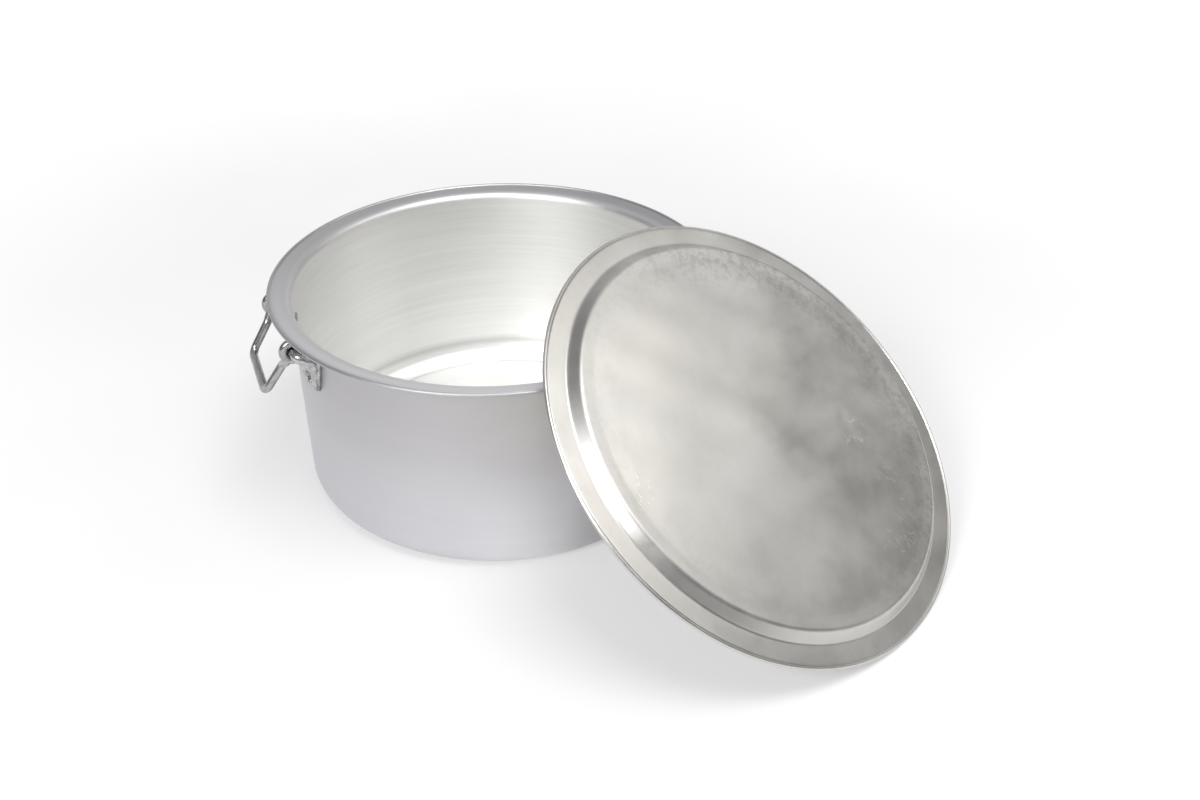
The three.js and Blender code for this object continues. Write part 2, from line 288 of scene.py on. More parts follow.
def give_rings(piece, sides, ring_count):
    """A map whose U runs round the axis, which sets the direction of the turning marks."""
    layer = piece.data.uv_layers.new(name="spun")
    corners = np.zeros(len(piece.data.loops), int)
    piece.data.loops.foreach_get("vertex_index", corners)
    u = (corners % sides) / sides
    v = np.minimum(corners // sides, ring_count) / ring_count
    wraps = np.zeros(len(corners), bool)
    for polygon in piece.data.polygons:
        span = slice(polygon.loop_start, polygon.loop_start + polygon.loop_total)
        wraps[span] = (u[span] < 0.25) & (u[span].max() > 0.75)
    layer.data.foreach_set("uv", np.stack([u + wraps, v], axis=-1).ravel())


def tube(path, radii, sides):
    """A closed rod along a path, with a radius at each point and flat ends with a small chamfer."""
    path = np.array(path, float)
    radii = np.broadcast_to(np.asarray(radii, float), len(path)).copy()
    along = np.gradient(path, axis=0)
    along /= np.linalg.norm(along, axis=1)[:, None]
    chamfer = min(0.5, radii[0] * 0.3, radii[-1] * 0.3)
    path = np.vstack([path[0] - along[0] * chamfer, path, path[-1] + along[-1] * chamfer])
    along = np.vstack([along[0], along, along[-1]])
    radii = np.concatenate([[radii[0] - chamfer], radii, [radii[-1] - chamfer]])
    side = np.cross(along[0], [0.3, 0.5, 0.81])
    angle = np.arange(sides) * 2 * math.pi / sides
    rings = []
    for centre, direction, radius in zip(path, along, radii):
        side = side - direction * (side @ direction)
        side /= np.linalg.norm(side)
        other = np.cross(direction, side)
        rings.append(centre + radius * (np.cos(angle)[:, None] * side + np.sin(angle)[:, None] * other))
    count = len(rings)
    points = np.vstack([np.vstack(rings), path[0], path[-1]])
    faces = []
    for i in range(count - 1):
        for j in range(sides):
            k = (j + 1) % sides
            faces.append((i * sides + j, i * sides + k, (i + 1) * sides + k, (i + 1) * sides + j))
    for j in range(sides):
        k = (j + 1) % sides
        faces.append((count * sides, k, j))
        faces.append((count * sides + 1, (count - 1) * sides + j, (count - 1) * sides + k))
    run = np.concatenate([[0], np.cumsum(np.linalg.norm(np.diff(path, axis=0), axis=1))])
    runs = np.concatenate([np.repeat(run, sides), [0, run[-1]]])
    return points, faces, runs, np.concatenate([np.tile(angle, count), [0, 0]])


def joined(solids):
    """The points and faces of several solids as one list of each."""
    points, faces, shift = [], [], 0
    for solid_points, solid_faces in solids:
        points.append(solid_points)
        faces += [tuple(index + shift for index in face) for face in solid_faces]
        shift += len(solid_points)
    return np.vstack(points), faces


# ----------------------------------------------------------- node recipes


class Nodes:
    """A node tree, built one node at a time."""

    def __init__(self, tree):
        self.tree = tree

    def add(self, kind, inputs, output=0, **settings):
        made = self.tree.nodes.new(kind)
        for name, value in settings.items():
            setattr(made, name, value)
        for name, value in inputs.items():
            self.put(made.inputs[name], value)
        return made.outputs[output]

    def put(self, socket, value):
        if isinstance(value, bpy.types.NodeSocket):
            self.tree.links.new(value, socket)
        elif socket.type == "RGBA":
            socket.default_value = (*value, 1)
        else:
            socket.default_value = value

    def sum(self, first, second):
        return self.add("ShaderNodeMath", {0: first, 1: second}, operation="ADD")

    def times(self, first, second):
        return self.add("ShaderNodeMath", {0: first, 1: second}, operation="MULTIPLY")

    def blend(self, share, first, second, how="MIX"):
        made = self.tree.nodes.new("ShaderNodeMix")
        made.data_type = "RGBA"
        made.blend_type = how
        self.put(made.inputs[0], share)
        self.put(made.inputs[6], first)
        self.put(made.inputs[7], second)
        return made.outputs[2]


class Recipe(Nodes):
    """A material's node tree."""

    def __init__(self, name):
        self.material = bpy.data.materials.new(name)
        self.material.use_nodes = True
        super().__init__(self.material.node_tree)
        self.shader = self.tree.nodes["Principled BSDF"]

    def read(self, name, output="Vector"):
        return self.add("ShaderNodeAttribute", {}, output, attribute_name=name)

    def mask(self, name):
        return self.read(name, "Fac")

    def scaled(self, vector, scale):
        return self.add("ShaderNodeVectorMath", {0: vector, 1: scale}, operation="MULTIPLY")

    def rough_noise(self, vector, scale, detail=3, roughness=0.5):
        inputs = {"Vector": self.scaled(vector, scale), "Scale": 1, "Detail": detail, "Roughness": roughness}
        return self.add("ShaderNodeTexNoise", inputs)

    def spread(self, value, low, high, to_low=0.0, to_high=1.0):
        inputs = {"Value": value, "From Min": low, "From Max": high, "To Min": to_low, "To Max": to_high}
        return self.add("ShaderNodeMapRange", inputs, interpolation_type="SMOOTHSTEP")

    def bump(self, height, distance):
        normal = self.add("ShaderNodeBump", {"Height": height, "Distance": distance})
        self.put(self.shader.inputs["Normal"], normal)

    def finish(self, colour, roughness, anisotropy=None):
        self.put(self.shader.inputs["Base Color"], colour)
        self.put(self.shader.inputs["Roughness"], roughness)
        self.shader.inputs["Metallic"].default_value = 1
        if anisotropy:
            self.put(self.shader.inputs["Anisotropic"], anisotropy)
            self.shader.inputs["Anisotropic Rotation"].default_value = 0.25
            tangent = self.add("ShaderNodeTangent", {}, direction_type="UV_MAP", uv_map="spun")
            self.put(self.shader.inputs["Tangent"], tangent)
        return self.material


def pot_metal():
    """Satin spun aluminium: brighter and finely ringed inside, lavender grey outside, with painted shade, a
    painted warm reflection and painted highlights on the outside and the rim, and painted shade in the inside
    corner.
    """
    lavender, pale_lavender = (0.660, 0.652, 0.682), (0.700, 0.692, 0.716)
    wall_shade_grey, warm_reflection_tint, sheen_pale = (0.500, 0.490, 0.500), (0.560, 0.540, 0.490), (0.840, 0.830, 0.850)
    dull_rim, rim_highlight_pale = (0.590, 0.584, 0.590), (0.860, 0.850, 0.852)
    inner_dull, inner_bright = (0.925, 0.923, 0.907), (0.955, 0.954, 0.940)
    floor_corner_shade_grey, edge_grey = (0.62, 0.62, 0.61), (0.50, 0.495, 0.505)
    r = Recipe("spun_aluminium")
    turning = r.read("turning")
    inside = r.mask("inside")
    edge = r.mask("edge")
    fine = r.rough_noise(turning, (5, 5, 1500), 2)
    streak = r.rough_noise(turning, (1.5, 1.5, 420), 4, 0.6)
    band = r.rough_noise(turning, (0.7, 0.7, 60), 3)
    cloud = r.rough_noise(r.read("panel"), (9, 9, 9), 5, 0.55)
    outer = r.blend(r.spread(cloud, 0.3, 0.7), lavender, pale_lavender)
    # Painted shade: the outer wall darker towards the top and low down beside the cover
    outer = r.blend(r.mask("wall_shade"), outer, wall_shade_grey)
    # A painted warm reflection high on the near side of the wall
    outer = r.blend(r.mask("warm_reflection"), outer, warm_reflection_tint)
    # A painted sheen low on the near side of the wall
    outer = r.blend(r.mask("sheen"), outer, sheen_pale)
    # The rim gets a painted highlight, brightest towards the front left
    outer = r.blend(r.mask("rim"), outer, r.blend(r.mask("rim_highlight"), dull_rim, rim_highlight_pale))
    inner = r.blend(r.spread(streak, 0.3, 0.7), inner_dull, inner_bright)
    colour = r.blend(inside, outer, inner)
    shade = r.spread(r.sum(r.times(streak, 0.5), r.times(band, 0.5)), 0.3, 0.7, 0.965, 1.0)
    colour = r.blend(1.0, colour, shade, "MULTIPLY")
    # Painted shade along the inside corner and the floor's edge, with the floor a little darker towards its
    # edge
    colour = r.blend(r.mask("floor_corner_shade"), colour, floor_corner_shade_grey)
    colour = r.blend(edge, colour, edge_grey)
    roughness = r.sum(r.spread(streak, 0.25, 0.75, 0.355, 0.405), r.spread(cloud, 0.3, 0.7, -0.02, 0.05))
    roughness = r.sum(roughness, r.sum(r.times(inside, 0.12), r.times(edge, 0.14)))
    r.bump(r.sum(r.times(fine, 0.5), r.times(streak, 0.5)), 0.000022)
    return r.finish(colour, roughness, r.mask("swirl"))


def cover_metal():
    """Dull handled aluminium: cloudy smudges, a mottled edge, short scratches and dark, brownish reflections
    painted into its step.
    """
    dull, bright = (0.600, 0.588, 0.562), (0.690, 0.683, 0.663)
    worn_grey, scratch_white, step_reflection_brown = (0.36, 0.355, 0.35), (0.88, 0.88, 0.86), (0.33, 0.325, 0.305)
    back_dull, back_bright = (0.42, 0.415, 0.402), (0.52, 0.514, 0.50)
    r = Recipe("handled_aluminium")
    panel = r.read("panel")
    rings = r.rough_noise(r.read("turning"), (1.2, 1.2, 260), 4, 0.6)
    cloud = r.rough_noise(panel, (7, 7, 7), 6, 0.6)
    smudge = r.rough_noise(panel, (26, 20, 26), 5, 0.65)
    speckle = r.rough_noise(panel, (150, 150, 150), 5, 0.7)
    grain = r.rough_noise(panel, (900, 900, 900), 2)
    colour = r.blend(r.spread(cloud, 0.32, 0.68), dull, bright)
    colour = r.blend(1.0, colour, r.spread(smudge, 0.3, 0.7, 0.93, 1.0), "MULTIPLY")
    mottle = r.times(r.spread(speckle, 0.46, 0.6), r.mask("wear"))
    colour = r.blend(r.times(mottle, 0.6), colour, worn_grey)
    cells = {"Vector": r.scaled(panel, (60, 170, 60)), "Scale": 1}
    cracks = r.add("ShaderNodeTexVoronoi", cells, feature="DISTANCE_TO_EDGE")
    scratch = r.times(r.spread(cracks, 0.0, 0.06, 1.0, 0.0), r.spread(speckle, 0.48, 0.56))
    mark = r.times(scratch, r.spread(r.mask("scratched"), 0.1, 0.6))
    colour = r.blend(r.times(mark, 0.7), colour, scratch_white)
    # Dark, brownish reflections painted into the step
    step_reflection = r.times(r.mask("step_reflection"), r.spread(smudge, 0.3, 0.7, 1.0, 0.85))
    colour = r.blend(step_reflection, colour, step_reflection_brown)
    colour = r.blend(r.mask("back"), colour, r.blend(cloud, back_dull, back_bright))
    roughness = r.sum(r.spread(cloud, 0.3, 0.7, 0.30, 0.38), r.spread(smudge, 0.3, 0.7, -0.03, 0.05))
    roughness = r.sum(roughness, r.times(r.sum(mottle, mark), 0.06))
    roughness = r.sum(roughness, r.times(r.mask("bend"), 0.05))
    r.bump(r.sum(r.times(grain, 0.3), r.sum(r.times(rings, 0.7), r.times(smudge, 1.2))), 0.00003)
    return r.finish(colour, roughness)


def rod_metal():
    """Bright drawn rod with marks along its length and darker worn patches."""
    worn, bright = (0.37, 0.366, 0.355), (0.50, 0.494, 0.48)
    r = Recipe("drawn_rod")
    turning = r.read("turning")
    drawn = r.rough_noise(turning, (9, 9, 40), 4, 0.6)
    patch = r.rough_noise(turning, (1.3, 1.3, 90), 4, 0.6)
    colour = r.blend(r.spread(patch, 0.35, 0.65), worn, bright)
    colour = r.blend(1.0, colour, r.spread(drawn, 0.3, 0.7, 0.85, 1.0), "MULTIPLY")
    roughness = r.sum(r.spread(drawn, 0.3, 0.7, 0.22, 0.33), r.spread(patch, 0.35, 0.65, 0.05, 0.0))
    r.bump(r.sum(drawn, patch), 0.00005)
    return r.finish(colour, roughness)


def cast_metal():
    """As-cast aluminium, worn bright on its high places and darkened by painted shade in its creases."""
    dull, bright, crease_shade_black = (0.38, 0.375, 0.38), (0.56, 0.555, 0.555), (0.13, 0.125, 0.12)
    r = Recipe("cast_aluminium")
    panel = r.read("panel")
    lumps = r.rough_noise(panel, (160, 160, 160), 5, 0.6)
    pits = r.rough_noise(panel, (700, 700, 700), 3, 0.6)
    colour = r.blend(r.spread(lumps, 0.35, 0.65), dull, bright)
    # Painted shade in the creases: where the plate meets the wall and in the valley between the ribs
    crease_darkening = r.times(r.mask("crease_shade"), r.spread(r.sum(lumps, pits), 0.7, 1.2, 1.0, 0.65))
    colour = r.blend(crease_darkening, colour, crease_shade_black)
    roughness = r.sum(r.spread(pits, 0.3, 0.7, 0.22, 0.36), r.times(crease_darkening, 0.3))
    r.bump(r.sum(r.times(lumps, 0.9), r.times(pits, 0.35)), 0.00016)
    return r.finish(colour, roughness)


def rivet_metal():
    """Soft hammered aluminium."""
    dull, bright = (0.40, 0.396, 0.40), (0.54, 0.536, 0.54)
    r = Recipe("hammered_aluminium")
    blows = r.rough_noise(r.read("panel"), (420, 420, 420), 3, 0.5)
    r.bump(blows, 0.00012)
    return r.finish(r.blend(r.spread(blows, 0.35, 0.65), dull, bright), r.spread(blows, 0.3, 0.7, 0.26, 0.4))


METALS = {
    "pot_metal": pot_metal(),
    "lid_metal": cover_metal(),
    "rod_metal": rod_metal(),
    "lug_metal": cast_metal(),
    "rivet_metal": rivet_metal(),
}


# --------------------------------------------------------------------- pot


def wall_radius(height):
    """The outside of the wall."""
    return WALL_BASE_R + (WALL_TOP_R - WALL_BASE_R) * height / POT_HEIGHT


def rim_top(radius):
    return POT_HEIGHT - BEAD_STEP - (RIM_EDGE - radius) * math.tan(RIM_SLOPE)


def rim_under(radius):
    return rim_top(radius) - WALL / math.cos(RIM_SLOPE)


def pot_outline():
    """From the middle of the base round the outside, over the bead and down the inside to the floor."""
    inside_top = WALL_TOP_R - WALL
    return filled([
        *rounded([
            (0, BASE_DISH),
            (DISH_R, BASE_DISH, DISH_BEND_R),
            (DISH_R + DISH_SLOPE, 0, DISH_BEND_R),
            (WALL_BASE_R, 0, BASE_CORNER_R),
            (WALL_TOP_R, rim_under(WALL_TOP_R), MOUTH_R - WALL),
            (SEAM_R, rim_under(SEAM_R)),
            (SEAM_R + 0.4, rim_under(SEAM_R) + 0.45),
        ], 14),
        *arc(BEAD_X, BEAD_Z, BEAD_R, math.radians(-150), math.radians(150), 22),
        *rounded([
            (SEAM_R + 0.45, rim_top(SEAM_R) - 0.55),
            (SEAM_R, rim_top(SEAM_R) - 0.1),
            (SEAM_R - 0.5, rim_top(SEAM_R - 0.5)),
            (inside_top, rim_top(inside_top), MOUTH_R),
            (WALL_BASE_R - WALL, FLOOR + RING_STEP, BASE_CORNER_R - WALL),
            (FLOOR_R - 1, FLOOR + RING_STEP, 0.5),
            (FLOOR_R - 1.8, FLOOR, 0.5),
            (0, FLOOR),
        ], 14),
    ], POT_MESH_STEP)


def pot_warp(radius, height, angle):
    """Spinning leaves the wall and the rim a little uneven."""
    on_wall = between(height, (25, 60), (160, 180))
    swell = 0.20 * np.cos(2 * angle + 0.6) + 0.12 * np.cos(3 * angle + height / 41)
    swell += 0.07 * np.cos(7 * angle - height / 23) + 0.05 * np.cos(height / 5.5 + 2 * angle)
    on_rim = ease(radius, 184, 196) * ease(height, 170, 183)
    dip = 0.18 * (1 + np.cos(2 * angle + 1.2)) + 0.08 * (1 + np.cos(5 * angle))
    return radius + on_wall * swell, height - on_rim * dip


def paint_pot(pot, points, runs, angles, outline):
    """Marks on the pot's vertices where its colour changes, each as a share from 0 to 1: some follow its
    material, others are painted light and shade.
    """
    radius, height = np.hypot(points[:, 0], points[:, 1]), points[:, 2]
    azimuth = np.degrees(angles)
    edge_run = np.cumsum(np.linalg.norm(np.diff(outline, axis=0), axis=1))[np.argmax(outline[:, 0])]
    past_edge = runs - edge_run
    outside = 1 - ease(past_edge, -22, -17)
    give(pot, "inside", ease(past_edge, 14, 26))
    give(pot, "edge", bell(past_edge, 0, 4))
    give(pot, "rim", between(past_edge, (1, 4), (12, 20)))
    # A painted highlight on the rim, brightest round one azimuth
    give(pot, "rim_highlight", bell(azimuth, RIM_HIGHLIGHT_AZIMUTH, 75))
    # Painted shade: the outer wall darker towards the top, and low down beside the cover
    cover_shade = between(azimuth, COVER_SHADE_IN, COVER_SHADE_OUT) * (1 - ease(height, 60, 120))
    give(pot, "wall_shade", np.maximum(ease(height, 10, 175), 0.9 * cover_shade) * outside)
    # A painted warm reflection high on the wall, round one azimuth
    give(pot, "warm_reflection", 0.75 * bell(azimuth, WARM_REFLECTION_AZIMUTH, 26) * ease(height, 60, 165) * outside)
    # A painted sheen, brighter low on the near side of the wall
    give(pot, "sheen", 0.8 * between(azimuth, SHEEN_IN, SHEEN_OUT) * (1 - ease(height, 20, 110)) * outside)
    # Painted shade: a dark band at the foot of the inside wall, a dark line at the floor's edge, and the
    # floor darker towards its edge
    corner = (0.75 * bell(height, 19, 3.5) + 0.6 * bell(height, 11, 1.1)) * (radius > FLOOR_R)
    ring = 1.2 * bell(radius, FLOOR_R - 1.6, 0.9)
    floor = (0.1 + 0.3 * ease(radius, FLOOR_R / 2, FLOOR_R)) * (radius < FLOOR_R - 1)
    give(pot, "floor_corner_shade", np.clip(corner + ring + floor, 0, 1) * (past_edge > 26))
    give(pot, "swirl", 0.5 * ease(radius, 4, 40))


def make_pot():
    outline = pot_outline()
    points, faces, runs, angles = turn(outline, POT_SIDES, pot_warp)
    pot = new_object("spun_pot", points, faces, METALS["pot_metal"], "pot", ["pot_shell"])
    give_turning(pot, points, runs, angles)
    give_rings(pot, POT_SIDES, len(outline) - 2)
    give(pot, "panel", points * MM)
    paint_pot(pot, points, runs, angles, outline)


# ------------------------------------------------------------------- cover

# Low swells of the cover's sheet: place, half widths along X and Y, turn in degrees and height.
SWELLS = [
    ((4, 0), (46, 58), 20, 0.8),
    ((-95, 10), (46, 66), -20, 0.55),
    ((-40, 82), (24, 62), 40, 0.7),
    ((60, 66), (26, 44), 35, 0.5),
    ((92, -28), (56, 60), 0, 0.5),
    ((10, -100), (70, 44), 10, 0.5),
    ((118, 62), (26, 34), 0, 0.35),
]

# Small dents, each a place, a half width and a depth.
DENTS = [
    ((53, 72), 8, 0.22),
    ((39, 78), 7, 0.16),
    ((60, 88), 9, 0.25),
    ((96, 79), 7, 0.12),
    ((128, 71), 8, 0.15),
    ((-20, -150), 10, 0.2),
]

# Where the cover is scratched: a place, half widths along X and Y, and a turn in degrees.
MARKS = [
    ((50, 82), (12, 22), 20),
    ((100, 74), (14, 14), 0),
    ((130, 66), (9, 13), 10),
    ((142, 36), (12, 26), 0),
    ((-24, -152), (9, 20), 60),
]

# Where dark, brownish reflections are painted into the cover's step: an azimuth, a half width in degrees and
# a strength.
STEP_REFLECTIONS = [
    (-143, 22, 0.95),
    (-62, 14, 0.9),
]


def hump(x, y, place, widths, turned):
    """A smooth hump of height 1 over an ellipse that is turned by an angle in degrees."""
    cos, sin = math.cos(math.radians(turned)), math.sin(math.radians(turned))
    dx, dy = x - place[0], y - place[1]
    return np.exp(-((dx * cos + dy * sin) / widths[0]) ** 2 - ((dy * cos - dx * sin) / widths[1]) ** 2)


def cover_outline():
    """From the middle of the underside out to the hem and back over the top."""
    back = COVER_SHEET * COVER_BACK
    hem_x, hem_z = COVER_R - HEM_R, COVER_SHEET - HEM_R + HEM_RISE
    hem_inner = hem_x - HEM_R * ROLL_TUCK
    top = COVER_STEP + COVER_SHEET
    return filled([
        *rounded([
            (0, COVER_STEP),
            (COVER_TOP_R - back, COVER_STEP, COVER_BEND_R - COVER_SHEET),
            (COVER_FOOT_R - back, 0, COVER_BEND_R),
            (hem_inner - 0.6, 0),
            (hem_inner - 0.2, 0.5),
        ], 8),
        *arc(hem_x, hem_z, HEM_R, math.radians(-152), math.radians(148), 20),
        *rounded([
            (hem_inner - 0.1, COVER_SHEET - 0.5),
            (hem_inner - 0.5, COVER_SHEET, 0.2),
            (COVER_FOOT_R + 0.4, COVER_SHEET, COVER_BEND_R),
            (COVER_TOP_R - 0.4, top, COVER_BEND_R + 2),
            (COVER_TOP_R - 7, top, 4),
            (COVER_TOP_R - 12, top - COVER_RIDGE, 4),
            (0, top - COVER_RIDGE),
        ], 8),
    ], COVER_MESH_STEP)


def cover_warp(radius, height, angle):
    """The raised middle is a little wavy and dented."""
    x, y = radius * np.cos(angle), radius * np.sin(angle)
    middle = 1 - ease(radius, 148, 168)
    lift = sum(hump(x, y, place, widths, turned) * rise for place, widths, turned, rise in SWELLS)
    lift = lift + 0.12 * np.cos(x / 17 + 1) * np.cos(y / 22) + 0.06 * np.cos(y / 9 - x / 14) + 0.15
    lift = lift * middle
    lift = lift - sum(hump(x, y, place, (size, size), 0) * depth for place, size, depth in DENTS)
    return radius, height + lift


def cover_frame():
    """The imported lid's own axes: X down its slope, Z out of its face, from its flange's underside."""
    normal = Vector(JOINTS["lid_lift"]["axis"]).normalized()
    level = Vector((0, 0, 1)).cross(normal).normalized()
    down_slope = level.cross(normal)
    places = np.array([vertex.co for vertex in frame["nodes"]["lid"].data.vertices], float)
    places = np.unique(np.round(places, 6), axis=0)
    middle = places.mean(axis=0)
    highest = ((places - middle) @ np.array(normal)).max()
    origin = Vector(middle) + normal * (highest - (COVER_STEP + COVER_SHEET) * MM)
    turn_matrix = Matrix((down_slope, level, normal)).transposed()
    return Matrix.Translation(origin) @ turn_matrix.to_4x4()


def paint_cover(cover, points, runs, angles):
    """Marks on the cover's vertices where its colour changes, each as a share from 0 to 1; the reflections in
    its step are painted.
    """
    x, y = points[:, 0], points[:, 1]
    radius = np.hypot(x, y)
    face = runs > runs.max() / 2
    give(cover, "back", 1.0 - face)
    mottled = between(radius, (118, 168), (174, 178)) * (0.15 + 0.7 * ease(y, -60, 120))
    give(cover, "wear", np.maximum(mottled, 0.12 * ease(radius, 186, 192)) * face)
    give(cover, "bend", between(radius, (165, 172), (183, 187)) * face)
    scratched = sum(hump(x, y, place, widths, turned) for place, widths, turned in MARKS)
    give(cover, "scratched", np.clip(scratched, 0, 1) * face)
    azimuth = (np.degrees(angles) + 180) % 360 - 180
    # Dark, brownish reflections painted into the step, round a few azimuths
    step_reflection = sum(strength * bell(azimuth, middle, half_width) for middle, half_width, strength in STEP_REFLECTIONS)
    give(cover, "step_reflection", step_reflection * between(radius, (173.5, 176), (180, 182.5)) * face)


def make_cover():
    outline = cover_outline()
    points, faces, runs, angles = turn(outline, COVER_SIDES, cover_warp)
    placed = np.array(cover_frame())
    world = (points * MM) @ placed[:3, :3].T + placed[:3, 3]
    cover = new_object("stepped_cover", world / MM, faces, METALS["lid_metal"], "cover", ["lid"])
    give_turning(cover, points, runs, angles)
    give_rings(cover, COVER_SIDES, len(outline) - 2)
    give(cover, "panel", points * MM)
    paint_cover(cover, points, runs, angles)


# ----------------------------------------------------------------- handles


def to_side(points, name):
    """Points made for the right handle, turned half round the pot for the left one."""
    return points * (1 if name == "right" else -1, 1 if name == "right" else -1, 1)


def bail_half():
    """The rod's centre line from the middle of the grip, up a leg and into its eye, hanging straight down."""
    corner_z = BAIL_CORNER - BAIL_DROP
    bend = QUARTER_ARC * BAIL_CORNER
    grip = [(0, y, -BAIL_DROP) for y in np.linspace(0, LEG_FOOT_Y - BAIL_CORNER, 28)]
    corner = bezier(grip[-1], (0, grip[-1][1] + bend, -BAIL_DROP), (0, LEG_FOOT_Y, corner_z - bend),
                    (0, LEG_FOOT_Y, corner_z), 14)
    neck_start = np.array([0, LEG_TOP_Y, NECK_Z])
    leg = np.linspace(corner[-1], neck_start, 20)
    climb = (neck_start - corner[-1]) / np.linalg.norm(neck_start - corner[-1])
    eye_foot = np.array([0, EYE_Y, -EYE_R])
    neck = bezier(neck_start, neck_start + climb * NECK_LEAD, eye_foot - (0, 0, EYE_LEAD), eye_foot, 14)
    return np.vstack([grip, corner[1:], leg[1:], neck[1:]])


def eye_circle(side):
    """The centre line of the closed eye at one end of the rod, from where the leg runs into it."""
    angles = np.linspace(0, 2 * math.pi, EYE_STEPS + 1)
    y = np.full(len(angles), side * EYE_Y)
    return np.stack([EYE_R * np.sin(angles), y, -EYE_R * np.cos(angles)], axis=-1)


def make_bail(name):
    """A bent rod and its two closed eyes, swung out from hanging to where it stands."""
    half = bail_half()
    rod = np.vstack([half[:0:-1] * (1, -1, 1), half])
    tubes = [tube(path, ROD_R, ROD_SIDES) for path in (rod, eye_circle(-1), eye_circle(1))]
    points, faces = joined([made[:2] for made in tubes])
    runs = np.concatenate([made[2] for made in tubes])
    angles = np.concatenate([made[3] for made in tubes])
    swing = np.array(Matrix.Rotation(-BAIL_OUT, 3, "Y"))
    points = to_side(points @ swing.T + (HINGE_X, 0, HINGE_Z), name)
    piece = new_object(f"{name}_handle_rod", points, faces, METALS["rod_metal"], f"{name}_handle",
                       [f"{name}_bail"])
    give_along(piece, runs, angles)


# -------------------------------------------------------------------- lugs

# The plate's upper and lower edges, as places across it and heights.
PLATE_TOP = [(-17.5, 162.3), (5, 162.5), (9, 172), (17.5, 172)]
PLATE_BOTTOM = [(-17.5, 155), (-9.5, 137.5), (0, 135.6), (10, 137.5), (15.5, 157), (17.5, 168)]

# The ribs: places across the plate, heights and lifts off its face, with a radius at each.
OUTER_RIB = [(12.4, 170, 0.2), (11.6, 158, 0.5), (10.2, 146, 0.1), (8.6, 138.5, -1.2)], [3.4, 3.2, 2.8, 1.6]
INNER_RIB = [(4.2, 165.4, 0.2), (-1.8, 160, 0.8), (-5.4, 151, 0.5), (-3.4, 138.5, -1.2)], [2.4, 3.1, 2.8, 1.6]
VALLEY_DEPTH = 1.7

CAST_VOXEL = 0.5
CAST_SOFTENING = 5
LUMP_SIZE = 3.1
LUMP_HEIGHT = 0.12
OFF_WALL = 0.08           # the casting keeps this far off the wall


def over_plate(across, height, lift):
    """A point over the wall, lifted off the plate's outer face."""
    radius = wall_radius(height) + GAP + PLATE + lift
    return (math.sqrt(radius ** 2 - across ** 2), across, height)


def slab(front, back):
    """A closed solid between two grids of points."""
    rows, columns = front.shape[:2]
    points = np.vstack([front.reshape(-1, 3), back.reshape(-1, 3)])
    shift = rows * columns
    faces = []
    for i in range(rows - 1):
        for j in range(columns - 1):
            a, b = i * columns + j, (i + 1) * columns + j
            faces.append((a, b, b + 1, a + 1))
            faces.append((a + shift + 1, b + shift + 1, b + shift, a + shift))
    for i in range(rows - 1):
        for j, flip in ((0, False), (columns - 1, True)):
            a, b = i * columns + j, (i + 1) * columns + j
            faces.append((a, a + shift, b + shift, b)[::-1 if flip else 1])
    for j in range(columns - 1):
        for i, flip in ((0, True), (rows - 1, False)):
            a = i * columns + j
            faces.append((a, a + shift, a + shift + 1, a + 1)[::-1 if flip else 1])
    return points, faces


def plate_solid():
    """The shield-shaped plate that lies on the wall, a little pillowed, with a valley between its ribs."""
    columns, rows = 36, 34
    across = np.linspace(-PLATE_HALF, PLATE_HALF, columns)
    top, bottom = (np.interp(across, *zip(*edge)) for edge in (PLATE_TOP, PLATE_BOTTOM))
    share = np.linspace(0, 1, rows)
    heights = bottom[:, None] + (top - bottom)[:, None] * share
    y = np.repeat(PLATE_Y + across[:, None], rows, axis=1)
    from_ends = np.minimum(share, 1 - share)[None, :] * (top - bottom)[:, None]
    from_sides = np.minimum(across + PLATE_HALF, PLATE_HALF - across)[:, None]
    thick = PLATE * (0.55 + 0.45 * ease(np.minimum(from_ends, from_sides), 0, 4))
    valley = VALLEY_DEPTH * bell(across[:, None], 2.5, 4.5) * ease(heights, 137, 148)
    front = wall_radius(heights) + GAP + thick - valley
    back = wall_radius(heights) - 0.6
    grids = [np.stack([np.sqrt(r ** 2 - y ** 2), y, heights], axis=-1) for r in (front, back)]
    return slab(*grids)


def arm_solid():
    """The round arm with its upset end, which turns in past the eye and runs into the plate."""
    head = [(ARM_START - 1.7, 1.6), (ARM_START - 1.5, 3.4), (ARM_START - 0.9, 4.7), (ARM_START - 0.3, 5.2),
            (ARM_START, 5.1), (ARM_START + 0.1, PIN_R)]
    spine = smooth_line([
        (HINGE_X, ARM_START + 0.4, HINGE_Z),
        (HINGE_X, EYE_Y, HINGE_Z),
        (HINGE_X, EYE_Y + 5.4, HINGE_Z),
        (HINGE_X - 2.2, EYE_Y + 9.8, HINGE_Z - 0.8),
        (HINGE_X - 8, EYE_Y + 12.4, HINGE_Z - 3.6),
        over_plate(PLATE_Y + 12.6, HINGE_Z - 9, 0.7),
        over_plate(PLATE_Y + 11.4, HINGE_Z - 16, -0.2),
        over_plate(PLATE_Y + 10, HINGE_Z - 24, -1.4),
    ], 8)
    swell = np.interp(np.linspace(0, 1, len(spine)), [0, 0.3, 0.45, 0.62, 0.8, 1],
                      [PIN_R, PIN_R, 5.4, 5.7, 4.6, 3.2])
    path = np.vstack([[(HINGE_X, y, HINGE_Z) for y, _ in head], spine])
    radii = np.concatenate([[radius for _, radius in head], swell])
    return tube(path, radii, 28)[:2]


def rib_solid(points, radii):
    path = smooth_line([over_plate(PLATE_Y + across, height, lift) for across, height, lift in points], 8)
    radii = np.interp(np.linspace(0, 1, len(path)), np.linspace(0, 1, len(radii)), radii)
    return tube(path, radii, 20)[:2]


